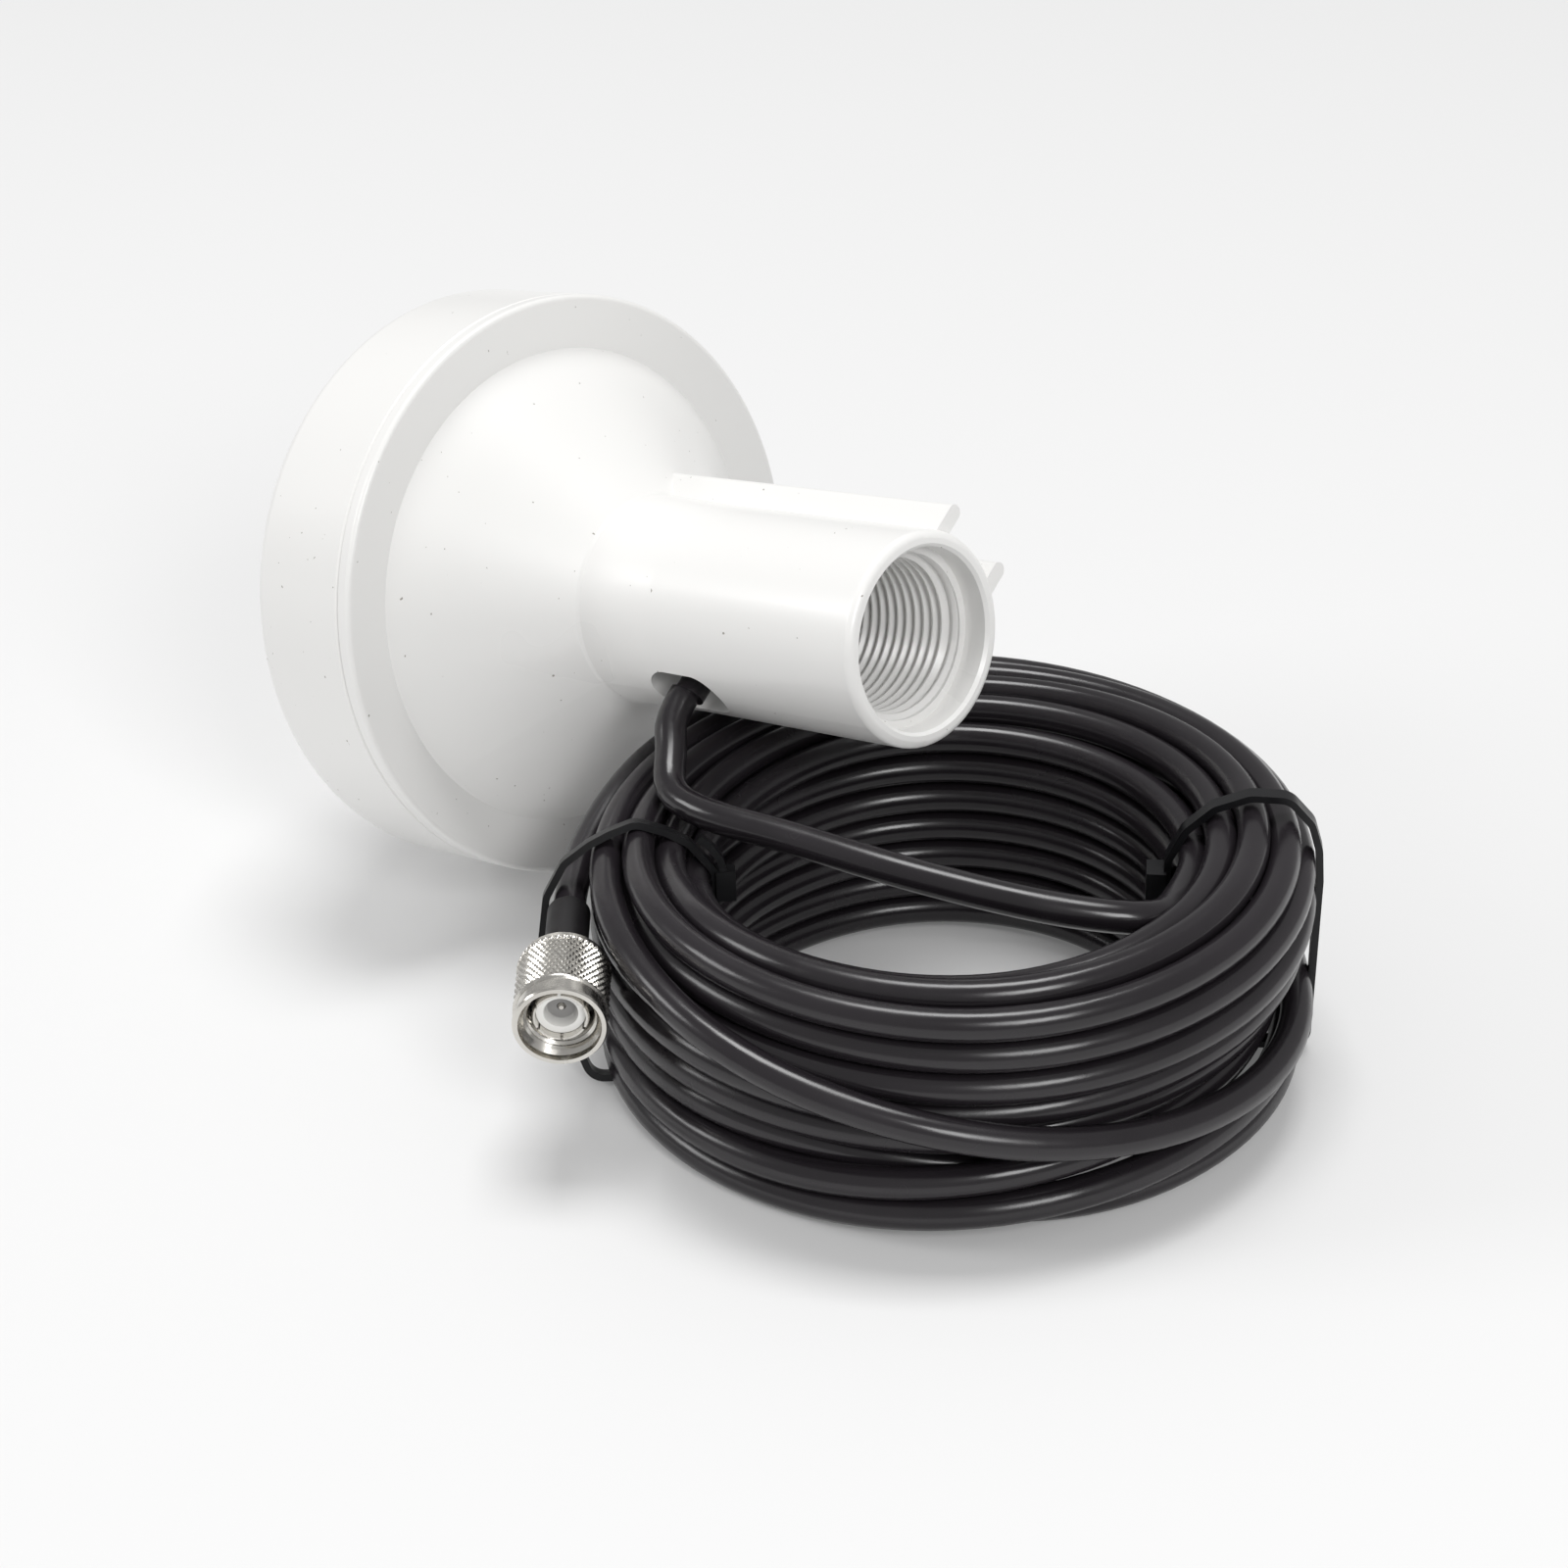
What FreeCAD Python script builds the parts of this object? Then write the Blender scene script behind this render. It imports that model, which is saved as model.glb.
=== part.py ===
import FreeCAD, Part
import math
import os
import Sketcher

# Marine satellite-navigation antenna lying on its side, with its coiled coaxial cable and plug.
#
# Row frame, millimetres: +X runs from the dome of the head to the mouth of the stem, +Z is up
# and z = 0 is the surface that the head and the coil lie on. X = 0 and Y = 0 are the middle of
# the antenna, without its cable. Each piece of the antenna is drawn about the Z axis, with
# z = 0 in the plane of the head's rim and +Z to the mouth, and is then laid down by one placement.

SIZES = {
    "head_radius": 48.0,
    "side_depth": 23.2,
    "crown_height": 19.1,
    "shell_wall": 2.5,
    "edge_round": 2.5,
    "rim_width": 2.9,
    "seam_chamfer": 0.4,
    "rim_round": 0.7,
    "rim_land": 8.7,
    "face_dish": 1.7,
    "neck_radius": 16.9,
    "neck_place": 18.7,
    "neck_round": 1.0,
    "taper_end": 34.0,
    "stem_radius": 16.45,
    "stem_length": 77.5,
    "mouth_round": 1.2,
    "spigot_length": 8.0,
    "spigot_gap": 0.3,
    "spigot_wall": 2.5,
    "ledge_depth": 6.0,
    "ledge_inset": 3.3,
    "cone_thickness": 3.5,
    "neck_wall": 3.0,
    "partition_place": 25.0,
    "partition_thickness": 3.0,
    "passage_radius": 11.2,
    "passage_end": 50.0,
    "thread_radius": 12.7,
    "counterbore_radius": 13.97,
    "counterbore_depth": 4.5,
    "mouth_chamfer": 0.5,
    "slot_place": 38.2,
    "slot_length": 15.0,
    "slot_width": 9.3,
    "rib_offset": 7.05,
    "rib_thickness": 2.6,
    "rib_reach": 19.7,
    "rib_start": 12.0,
    "rib_end": 76.2,
    "rib_end_round": 0.5,
    "ring_section": 0.8,
    "ring_groove_depth": 1.3,
    "ring_groove_gap": 0.1,
    "ring_place": 7.4,
    "board_gap": 2.2,
    "board_thickness": 1.6,
    "screw_inset": 2.6,
    "screw_hole": 1.3,
    "screw_shank": 0.85,
    "screw_gap": 0.05,
    "screw_head_radius": 1.2,
    "screw_head_height": 0.9,
    "screw_bite": 2.7,
    "patch_side": 35.0,
    "patch_thickness": 4.2,
    "electrode_side": 30.0,
    "electrode_thickness": 0.2,
    "electrode_corner": 2.5,
    "pin_offset": 5.5,
    "pin_radius": 0.6,
    "pin_gap": 0.2,
    "pin_head_radius": 1.4,
    "pin_head_height": 0.4,
    "pin_below_board": 1.0,
    "can_share": 0.72,
    "can_height": 4.0,
    "can_wall": 0.4,
    "can_start": 4.0,
    "chip_spacing": 10.0,
    "chip_side": 4.0,
    "chip_height": 1.0,
    "filter_side": 6.0,
    "filter_height": 1.8,
    "cable_radius": 2.5,
    "cable_bend": 7.0,
    "jacket_start": 1.0,
    "core_radius": 0.5,
    "core_short": 0.3,
    "core_insulation_radius": 1.45,
    "grommet_radius": 4.0,
    "grommet_flange": 5.4,
    "grommet_lip": 1.0,
    "coil_radius": 54.0,
    "coil_height": 40.0,
    "coil_build": 20.5,
    "coil_hole_shift": 4.5,
    "coil_hole_side_shift": 5.4,
    "coil_outer_round": 9.0,
    "coil_inner_round": 5.0,
    "coil_foot_round": 2.0,
    "tie_thickness": 1.1,
    "tie_width": 2.5,
    "tie_gap": 0.3,
    "lock_length": 4.6,
    "lock_width": 4.4,
    "lock_height": 3.0,
    "nut_radius": 7.05,
    "nut_length": 14.5,
    "nut_band_radius": 6.7,
    "nut_band_length": 2.1,
    "nut_front_length": 0.7,
    "nut_back_length": 1.6,
    "nut_mouth_radius": 6.1,
    "nut_thread_radius": 5.4,
    "nut_thread_end": 8.0,
    "nut_relief_radius": 5.7,
    "nut_wall_place": 12.4,
    "nut_hole_gap": 0.3,
    "plug_neck_radius": 4.0,
    "plug_flange_radius": 5.2,
    "plug_flange_place": 8.6,
    "plug_flange_length": 1.8,
    "plug_end": 16.0,
    "contact_radius": 4.2,
    "contact_wall": 0.5,
    "contact_front": 2.2,
    "contact_seat": 1.4,
    "contact_slit": 0.45,
    "contact_slit_length": 4.6,
    "insulator_front": 3.4,
    "insulator_gap": 0.05,
    "insulator_cup_radius": 2.55,
    "insulator_cup_depth": 1.6,
    "plug_pin_radius": 0.68,
    "plug_pin_front": 4.6,
    "plug_pin_collar": 1.2,
    "plug_bore_radius": 1.5,
    "snap_ring_radius": 5.3,
    "snap_ring_groove": 3.6,
    "snap_ring_thickness": 0.8,
    "snap_ring_gap": 0.2,
    "gasket_thickness": 0.8,
    "gasket_gap": 0.1,
    "ferrule_length": 11.0,
    "ferrule_wall": 0.45,
    "boot_radius": 3.3,
    "boot_end": 28.6,
    "cable_fit_gap": 0.05,
}

TILT = 12.12
ROLL = 123.0
COIL_CENTRE = (63.0, 0.0)
PLUG_FRONT = (46.1, -66.3, 26.6)
PLUG_AXIS = (0.6911, -0.7203, -0.0599)
TIE_LEFT_AZIMUTH = -133.3
TIE_RIGHT_AZIMUTH = 38.0
TIE_LEFT_LEAN = 15.0
TIE_RIGHT_LEAN = 0.0
TIE_TOP = 36.0

doc = FreeCAD.newDocument("navigation_antenna")
sheet = doc.addObject("Spreadsheet::Sheet", "Sizes")
for row, (name, value) in enumerate(SIZES.items(), 1):
    sheet.set("A%d" % row, name)
    sheet.set("B%d" % row, str(value))
    sheet.setAlias("B%d" % row, name)
doc.recompute()


class Size:
    """A number with the sheet expression that gives it."""

    def __init__(self, value, text):
        self.value = value
        self.text = text

    def __add__(self, other):
        other = plain(other)
        return Size(self.value + other.value, "(%s + %s)" % (self.text, other.text))

    def __sub__(self, other):
        other = plain(other)
        return Size(self.value - other.value, "(%s - %s)" % (self.text, other.text))

    def __mul__(self, other):
        other = plain(other)
        return Size(self.value * other.value, "(%s * %s)" % (self.text, other.text))

    def __truediv__(self, other):
        other = plain(other)
        return Size(self.value / other.value, "(%s / %s)" % (self.text, other.text))

    def __neg__(self):
        return Size(-self.value, "(0 - %s)" % self.text)


def plain(number):
    return number if isinstance(number, Size) else Size(float(number), repr(number))


def of(name):
    return Size(SIZES[name], "Sizes.%s" % name)


def body(name):
    made = doc.addObject("PartDesign::Body", name)
    made.Label = name
    return made


def attach(holder, drawn, role, height=None, turn=0.0):
    planes = [p for p in holder.Origin.OriginFeatures if p.Role == role]
    drawn.AttachmentSupport = (planes[0], [""])
    drawn.MapMode = "FlatFace"
    turned = FreeCAD.Rotation(FreeCAD.Vector(0, 0, 1), turn)
    lift = height.value if height is not None else 0.0
    drawn.AttachmentOffset = FreeCAD.Placement(FreeCAD.Vector(0, 0, lift), turned)
    if height is not None:
        drawn.setExpression("AttachmentOffset.Base.z", height.text)


def pin_point(drawn, item, end, x, y):
    for kind, place in (("DistanceX", x), ("DistanceY", y)):
        if place.value == 0 and place.text in ("0", "0.0"):
            axis = -2 if kind == "DistanceX" else -1
            drawn.addConstraint(Sketcher.Constraint("PointOnObject", item, end, axis))
            continue
        rule = Sketcher.Constraint(kind, -1, 1, item, end, place.value)
        index = drawn.addConstraint(rule)
        drawn.setExpression("Constraints[%d]" % index, place.text)


def outline(holder, name, points, role="XZ_Plane", height=None, turn=0.0):
    """A closed outline through points (x, y) or (x, y, arc), where arc is the way that the edge
    to the next point turns (+1 or -1), the coordinate of its centre that is set, and its value."""
    drawn = holder.newObject("Sketcher::SketchObject", name)
    attach(holder, drawn, role, height, turn)
    rows = [(plain(p[0]), plain(p[1]), p[2] if len(p) > 2 else None) for p in points]
    ends = []
    for i, (x, y, arc) in enumerate(rows):
        x2, y2 = rows[(i + 1) % len(rows)][:2]
        a, b = FreeCAD.Vector(x.value, y.value, 0), FreeCAD.Vector(x2.value, y2.value, 0)
        if arc is None:
            drawn.addGeometry(Part.LineSegment(a, b))
            ends.append((1, 2))
            continue
        way, known, place = arc
        mid, run = (a + b) / 2, b - a
        if known == "x":
            centre = FreeCAD.Vector(place.value, mid.y - (place.value - mid.x) * run.x / run.y, 0)
        else:
            centre = FreeCAD.Vector(mid.x - (place.value - mid.y) * run.y / run.x, place.value, 0)
        first, last = (a, b) if way > 0 else (b, a)
        start = math.atan2(first.y - centre.y, first.x - centre.x)
        stop = math.atan2(last.y - centre.y, last.x - centre.x)
        ring = Part.Circle(centre, FreeCAD.Vector(0, 0, 1), (a - centre).Length)
        drawn.addGeometry(Part.ArcOfCircle(ring, start, stop))
        ends.append((1, 2) if way > 0 else (2, 1))
    for i in range(len(rows)):
        after = (i + 1) % len(rows)
        joined = Sketcher.Constraint("Coincident", i, ends[i][1], after, ends[after][0])
        drawn.addConstraint(joined)
    for i, (x, y, arc) in enumerate(rows):
        pin_point(drawn, i, ends[i][0], x, y)
        if arc is not None:
            way, known, place = arc
            kind = "DistanceX" if known == "x" else "DistanceY"
            if place.value == 0:
                axis = -2 if known == "x" else -1
                drawn.addConstraint(Sketcher.Constraint("PointOnObject", i, 3, axis))
            else:
                rule = Sketcher.Constraint(kind, -1, 1, i, 3, place.value)
                index = drawn.addConstraint(rule)
                drawn.setExpression("Constraints[%d]" % index, place.text)
    return drawn


def rings(holder, name, circles, role="XY_Plane", height=None):
    """A sketch of circles (x, y, radius)."""
    drawn = holder.newObject("Sketcher::SketchObject", name)
    attach(holder, drawn, role, height)
    for i, (x, y, radius) in enumerate(circles):
        x, y, radius = plain(x), plain(y), plain(radius)
        centre = FreeCAD.Vector(x.value, y.value, 0)
        drawn.addGeometry(Part.Circle(centre, FreeCAD.Vector(0, 0, 1), radius.value))
        pin_point(drawn, i, 3, x, y)
        index = drawn.addConstraint(Sketcher.Constraint("Radius", i, radius.value))
        drawn.setExpression("Constraints[%d]" % index, radius.text)
    return drawn


def revolve(holder, name, points, cut=False):
    drawn = outline(holder, name + "_profile", points)
    kind = "PartDesign::Groove" if cut else "PartDesign::Revolution"
    made = holder.newObject(kind, name)
    made.Profile = drawn
    made.ReferenceAxis = (drawn, ["V_Axis"])
    made.Angle = 360
    made.Refine = False
    return made


def extrude(holder, name, drawn, length, cut=False, reverse=False):
    kind = "PartDesign::Pocket" if cut else "PartDesign::Pad"
    made = holder.newObject(kind, name)
    made.Profile = drawn
    made.setExpression("Length", plain(length).text)
    made.Reversed = reverse
    made.Refine = False
    return made


def polar(holder, name, features, count):
    made = holder.newObject("PartDesign::PolarPattern", name)
    made.Originals = features
    made.Axis = (features[0].Profile[0], ["N_Axis"])
    made.Angle = 360
    made.Occurrences = count
    made.Refine = False
    holder.Tip = made
    return made


def circle_edges(shape, radius, place):
    """Names of the circular edges of this radius at this height."""
    found = []
    for i, edge in enumerate(shape.Edges, 1):
        if edge.Degenerated or not isinstance(edge.Curve, Part.Circle):
            continue
        if abs(edge.Curve.Radius - radius) < 1e-4 and abs(edge.Curve.Center.z - place) < 1e-4:
            found.append("Edge%d" % i)
    return found


def soften(holder, name, base, edges, size, chamfer=False):
    kind = "PartDesign::Chamfer" if chamfer else "PartDesign::Fillet"
    made = holder.newObject(kind, name)
    made.Base = (base, edges)
    made.setExpression("Size" if chamfer else "Radius", of(size).text)
    made.Refine = False
    return made


def volume_change(feature, holder, before, sign):
    """The feature has to add (+1) or take away (-1) material."""
    doc.recompute()
    change = (feature.Shape.Volume - before) * sign
    if change < 0.01:
        raise RuntimeError("%s changes nothing in %s" % (feature.Name, holder.Name))
    return feature.Shape.Volume


nodes = {}
half = 0.5

# Radome: one moulded cap, a short cylindrical side with a shallow dome, open to the base
radome = body("radome")
side = of("side_depth")
tip = of("side_depth") + of("crown_height")
inner_side = of("head_radius") - of("shell_wall")
cap = revolve(radome, "radome_shell", [
    (of("head_radius"), -of("rim_width")),
    (of("head_radius"), -side, (-1, "x", plain(0))),
    (0, -tip),
    (0, -(tip - of("shell_wall")), (1, "x", plain(0))),
    (inner_side, -(side - of("shell_wall") * 0.44)),
    (inner_side, -of("rim_width")),
])
doc.recompute()
edge = circle_edges(cap.Shape, SIZES["head_radius"], -SIZES["side_depth"])
cap_edge = soften(radome, "radome_edge", cap, edge, "edge_round")
doc.recompute()
edge = circle_edges(cap_edge.Shape, SIZES["head_radius"], -SIZES["rim_width"])
soften(radome, "radome_seam", cap_edge, edge, "seam_chamfer", chamfer=True)
nodes["radome"] = radome

# Base housing: rim, face, cone and stem in one moulding, with the spigot that holds the radome
base = body("base_housing")
spigot_radius = of("head_radius") - of("shell_wall") - of("spigot_gap")
spigot_inner = spigot_radius - of("spigot_wall")
spigot_end = of("rim_width") + of("spigot_length")
face_radius = of("head_radius") - of("rim_land")
ledge_radius = face_radius - of("ledge_inset")


def cone_place(radius):
    """Height of the outer cone at this radius."""
    run = face_radius - of("neck_radius")
    return (face_radius - radius) * (of("neck_place") + of("face_dish")) / run - of("face_dish")


blank = revolve(base, "housing_blank", [
    (0, -spigot_end),
    (spigot_radius, -spigot_end),
    (spigot_radius, -of("rim_width")),
    (of("head_radius"), -of("rim_width")),
    (of("head_radius"), 0),
    (face_radius, -of("face_dish")),
    (of("neck_radius"), of("neck_place")),
    (of("stem_radius"), of("taper_end")),
    (of("stem_radius"), of("stem_length")),
    (0, of("stem_length")),
])
doc.recompute()
edge = circle_edges(blank.Shape, SIZES["stem_radius"], SIZES["stem_length"])
mouth_edge = soften(base, "mouth_rounding", blank, edge, "mouth_round")
doc.recompute()
edge = circle_edges(mouth_edge.Shape, SIZES["neck_radius"], SIZES["neck_place"])
neck_edge = soften(base, "neck_rounding", mouth_edge, edge, "neck_round")
doc.recompute()
edge = circle_edges(neck_edge.Shape, SIZES["head_radius"], 0.0)
rim_edge = soften(base, "rim_rounding", neck_edge, edge, "rim_round")
doc.recompute()
edge = circle_edges(rim_edge.Shape, SIZES["head_radius"], -SIZES["rim_width"])
seam_edge = soften(base, "rim_seam", rim_edge, edge, "seam_chamfer", chamfer=True)
doc.recompute()
volume = seam_edge.Shape.Volume

# Two ribs along the stem, opposite the cable slot, run out of the cone and stop behind the mouth
rib_length = of("rib_end") - of("rib_start")
for number, way in ((1, 1), (2, -1)):
    near = (of("rib_offset") - of("rib_thickness") * half) * way
    far = (of("rib_offset") + of("rib_thickness") * half) * way
    tip_start = -(of("rib_reach") - of("rib_thickness") * half)
    drawn = outline(base, "rib_%d_section" % number, [
        (-of("counterbore_radius") * 0.93, near),
        (tip_start, near, (-way, "x", tip_start)),
        (tip_start, far),
        (-of("counterbore_radius") * 0.93, far),
    ], role="XY_Plane", height=of("rib_start"))
    rib = extrude(base, "rib_%d" % number, drawn, rib_length)
    volume = volume_change(rib, base, volume, 1)

# Hollow of the cone, open to the radome, with the ledge that the circuit board lies on
inner_neck = of("neck_radius") - of("neck_wall")
hollow = revolve(base, "housing_hollow", [
    (0, -(spigot_end + 1)),
    (spigot_inner, -(spigot_end + 1)),
    (spigot_inner, -of("ledge_depth")),
    (ledge_radius, -of("ledge_depth")),
    (ledge_radius, cone_place(ledge_radius) - of("cone_thickness")),
    (inner_neck, cone_place(inner_neck) - of("cone_thickness")),
    (inner_neck, of("partition_place")),
    (0, of("partition_place")),
], cut=True)
volume = volume_change(hollow, base, volume, -1)

# Cable passage, threaded bore for the pole and the counterbore at the mouth
passage_start = of("partition_place") + of("partition_thickness")
thread_end = of("stem_length") - of("counterbore_depth")
bore = revolve(base, "pole_bore", [
    (0, passage_start),
    (of("passage_radius"), passage_start),
    (of("passage_radius"), of("passage_end")),
    (of("thread_radius"), of("passage_end")),
    (of("thread_radius"), thread_end),
    (of("counterbore_radius"), thread_end),
    (of("counterbore_radius"), of("stem_length") - of("mouth_chamfer")),
    (of("counterbore_radius") + of("mouth_chamfer"), of("stem_length")),
    (of("counterbore_radius") + of("mouth_chamfer"), of("stem_length") + 1),
    (0, of("stem_length") + 1),
], cut=True)
volume = volume_change(bore, base, volume, -1)
drawn = rings(base, "partition_hole_sketch", [(0, 0, of("grommet_radius"))],
              height=of("partition_place") - 1)
hole = extrude(base, "partition_hole", drawn, of("partition_thickness") + 2, cut=True, reverse=True)
volume = volume_change(hole, base, volume, -1)

# Rounded slot in the stem, where the cable leaves
half_width = of("slot_width") * half
low = of("slot_place") - (of("slot_length") - of("slot_width")) * half
high = of("slot_place") + (of("slot_length") - of("slot_width")) * half
drawn = outline(base, "cable_slot_sketch", [
    (half_width, low),
    (half_width, high, (1, "y", high)),
    (-half_width, high),
    (-half_width, low, (1, "y", low)),
], role="YZ_Plane")
slot = extrude(base, "cable_slot", drawn, of("stem_radius") + 3, cut=True, reverse=True)
volume = volume_change(slot, base, volume, -1)

# Groove round the spigot for the seal, and four pilot holes in the ledge
groove_half = of("ring_section") + of("ring_groove_gap")
groove = revolve(base, "seal_groove", [
    (spigot_radius - of("ring_groove_depth"), -(of("ring_place") + groove_half)),
    (spigot_radius + 0.1, -(of("ring_place") + groove_half)),
    (spigot_radius + 0.1, -(of("ring_place") - groove_half)),
    (spigot_radius - of("ring_groove_depth"), -(of("ring_place") - groove_half)),
], cut=True)
volume = volume_change(groove, base, volume, -1)
corner = (ledge_radius + of("screw_inset")) * math.sqrt(half)
pilot_radius = of("screw_shank") + of("screw_gap")
drawn = rings(base, "pilot_sketch", [(corner, corner, pilot_radius)], height=-of("ledge_depth"))
pilot = extrude(base, "pilot_hole", drawn, of("screw_bite") + 0.3, cut=True, reverse=True)
doc.recompute()
pilots = polar(base, "pilot_holes", [pilot], 4)
volume = volume_change(pilots, base, volume, -1)
nodes["base_housing"] = base

# Seal: a rubber ring in the spigot's groove, against the radome's inner wall
seal = doc.addObject("Part::Torus", "seal_ring")
seal.Label = "seal_ring"
seal.setExpression("Radius1", (inner_side - of("ring_section")).text)
seal.setExpression("Radius2", of("ring_section").text)
seal_place = -of("ring_place")
nodes["seal_ring"] = seal

# Circuit board on the ledge, with its screws, the patch on the dome's side and the shield below
board = body("circuit_board")
board_top = of("ledge_depth") + of("board_thickness")
pin_hole = of("pin_radius") + of("pin_gap")
core_hole = of("core_radius") + of("pin_gap")
drawn = rings(board, "board_sketch", [
    (0, 0, spigot_inner - of("board_gap")),
    (corner, corner, of("screw_hole")),
    (-corner, corner, of("screw_hole")),
    (-corner, -corner, of("screw_hole")),
    (corner, -corner, of("screw_hole")),
    (-of("pin_offset"), 0, pin_hole),
    (0, 0, core_hole),
], height=-board_top)
extrude(board, "board_blank", drawn, of("board_thickness"))
nodes["circuit_board"] = board

screws = body("board_screws")
drawn = rings(screws, "shank_sketch", [(corner, corner, of("screw_shank"))], height=-board_top)
shank = extrude(screws, "screw_shank", drawn, of("board_thickness") + of("screw_bite"))
head_radius_screw = of("screw_hole") + of("screw_head_radius") * half
drawn = rings(screws, "head_sketch", [(corner, corner, head_radius_screw)],
              height=-(board_top + of("screw_head_height")))
head = extrude(screws, "screw_head", drawn, of("screw_head_height"))
doc.recompute()
polar(screws, "screw_set", [shank, head], 4)
nodes["board_screws"] = screws

patch = body("ceramic_patch")
patch_half = of("patch_side") * half
patch_top = board_top + of("patch_thickness")
drawn = outline(patch, "patch_sketch", [
    (patch_half, patch_half), (-patch_half, patch_half),
    (-patch_half, -patch_half), (patch_half, -patch_half),
], role="XY_Plane", height=-patch_top)
block = extrude(patch, "patch_block", drawn, of("patch_thickness"))
doc.recompute()
volume = block.Shape.Volume
drawn = rings(patch, "patch_hole_sketch", [(-of("pin_offset"), 0, pin_hole)],
              height=-(patch_top + 1))
hole = extrude(patch, "patch_hole", drawn, of("patch_thickness") + 2, cut=True, reverse=True)
volume_change(hole, patch, volume, -1)
nodes["ceramic_patch"] = patch

electrode = body("patch_electrode")
plate_half = of("electrode_side") * half
plate_cut = plate_half - of("electrode_corner")
electrode_top = patch_top + of("electrode_thickness")
drawn = outline(electrode, "electrode_sketch", [
    (plate_half, plate_cut), (plate_cut, plate_half), (-plate_half, plate_half),
    (-plate_half, -plate_cut), (-plate_cut, -plate_half), (plate_half, -plate_half),
], role="XY_Plane", height=-electrode_top)
plate = extrude(electrode, "electrode_plate", drawn, of("electrode_thickness"))
doc.recompute()
volume = plate.Shape.Volume
drawn = rings(electrode, "electrode_hole_sketch", [(-of("pin_offset"), 0, pin_hole)],
              height=-(electrode_top + 1))
hole = extrude(electrode, "electrode_hole", drawn, of("electrode_thickness") + 2, cut=True,
               reverse=True)
volume_change(hole, electrode, volume, -1)
nodes["patch_electrode"] = electrode

feed = body("feed_pin")
feed_end = of("ledge_depth") - of("pin_below_board")
drawn = rings(feed, "feed_sketch", [(-of("pin_offset"), 0, of("pin_radius"))],
              height=-electrode_top)
extrude(feed, "feed_shank", drawn, electrode_top - feed_end)
drawn = rings(feed, "feed_head_sketch", [(-of("pin_offset"), 0, of("pin_head_radius"))],
              height=-(electrode_top + of("pin_head_height")))
extrude(feed, "feed_head", drawn, of("pin_head_height"))
nodes["feed_pin"] = feed

can = body("shield_can")
can_x = ledge_radius * of("can_share") * half
can_offset = of("can_start") + can_x
can_y = can_x
drawn = outline(can, "can_sketch", [
    (-can_offset + can_x, can_y), (-can_offset - can_x, can_y),
    (-can_offset - can_x, -can_y), (-can_offset + can_x, -can_y),
], role="XY_Plane", height=-of("ledge_depth"))
shell = extrude(can, "can_block", drawn, of("can_height"))
doc.recompute()
volume = shell.Shape.Volume
in_x, in_y = can_x - of("can_wall"), can_y - of("can_wall")
drawn = outline(can, "can_inside_sketch", [
    (-can_offset + in_x, in_y), (-can_offset - in_x, in_y),
    (-can_offset - in_x, -in_y), (-can_offset + in_x, -in_y),
], role="XY_Plane", height=-of("ledge_depth"))
inside = extrude(can, "can_inside", drawn, of("can_height") - of("can_wall"), cut=True,
                 reverse=True)
volume_change(inside, can, volume, -1)
nodes["shield_can"] = can

for name, side_size, height_size, across in (
        ("amplifier_chip", "chip_side", "chip_height", half),
        ("filter_block", "filter_side", "filter_height", -half)):
    chip = body(name)
    across = of("chip_spacing") * across
    span = of(side_size) * half
    drawn = outline(chip, name + "_sketch", [
        (-can_offset + span, span + across), (-can_offset - span, span + across),
        (-can_offset - span, -span + across), (-can_offset + span, -span + across),
    ], role="XY_Plane", height=-of("ledge_depth"))
    extrude(chip, name + "_block", drawn, of(height_size))
    nodes[name] = chip

# Inner stretch of the cable: from the board, through the grommet, round to the slot
inner = body("coax_inner")
path = inner.newObject("Sketcher::SketchObject", "coax_path")
attach(inner, path, "XZ_Plane")
down = of("slot_place") - of("cable_bend")
start = FreeCAD.Vector(0, SIZES["jacket_start"], 0)
turn_start = FreeCAD.Vector(0, down.value, 0)
turn_end = FreeCAD.Vector(SIZES["cable_bend"], SIZES["slot_place"], 0)
turn_centre = FreeCAD.Vector(SIZES["cable_bend"], down.value, 0)
leave = FreeCAD.Vector(SIZES["stem_radius"], SIZES["slot_place"], 0)
path.addGeometry(Part.LineSegment(start, turn_start))
ring = Part.Circle(turn_centre, FreeCAD.Vector(0, 0, 1), SIZES["cable_bend"])
path.addGeometry(Part.ArcOfCircle(ring, math.pi / 2, math.pi))
path.addGeometry(Part.LineSegment(turn_end, leave))
path.addConstraint(Sketcher.Constraint("Coincident", 0, 2, 1, 2))
path.addConstraint(Sketcher.Constraint("Coincident", 1, 1, 2, 1))
pin_point(path, 0, 1, plain(0), of("jacket_start"))
pin_point(path, 0, 2, plain(0), down)
pin_point(path, 2, 1, of("cable_bend"), of("slot_place"))
pin_point(path, 2, 2, of("stem_radius"), of("slot_place"))
index = path.addConstraint(Sketcher.Constraint("Radius", 1, SIZES["cable_bend"]))
path.setExpression("Constraints[%d]" % index, of("cable_bend").text)
section = rings(inner, "coax_section", [(0, 0, of("cable_radius"))], height=of("jacket_start"))
pipe = inner.newObject("PartDesign::AdditivePipe", "coax_jacket")
pipe.Profile = section
pipe.Spine = (path, ["Edge1", "Edge2", "Edge3"])
nodes["coax_inner"] = inner

core = body("coax_core")
core_start = board_top - of("core_short")
drawn = rings(core, "core_sketch", [(0, 0, of("core_radius"))], height=-core_start)
extrude(core, "core_wire", drawn, core_start + of("jacket_start"))
nodes["coax_core"] = core

sleeve = body("coax_insulation")
drawn = rings(sleeve, "sleeve_sketch", [(0, 0, of("core_insulation_radius")),
                                        (0, 0, of("core_radius"))], height=-of("ledge_depth"))
extrude(sleeve, "sleeve_tube", drawn, of("ledge_depth") + of("jacket_start"))
nodes["coax_insulation"] = sleeve

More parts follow.
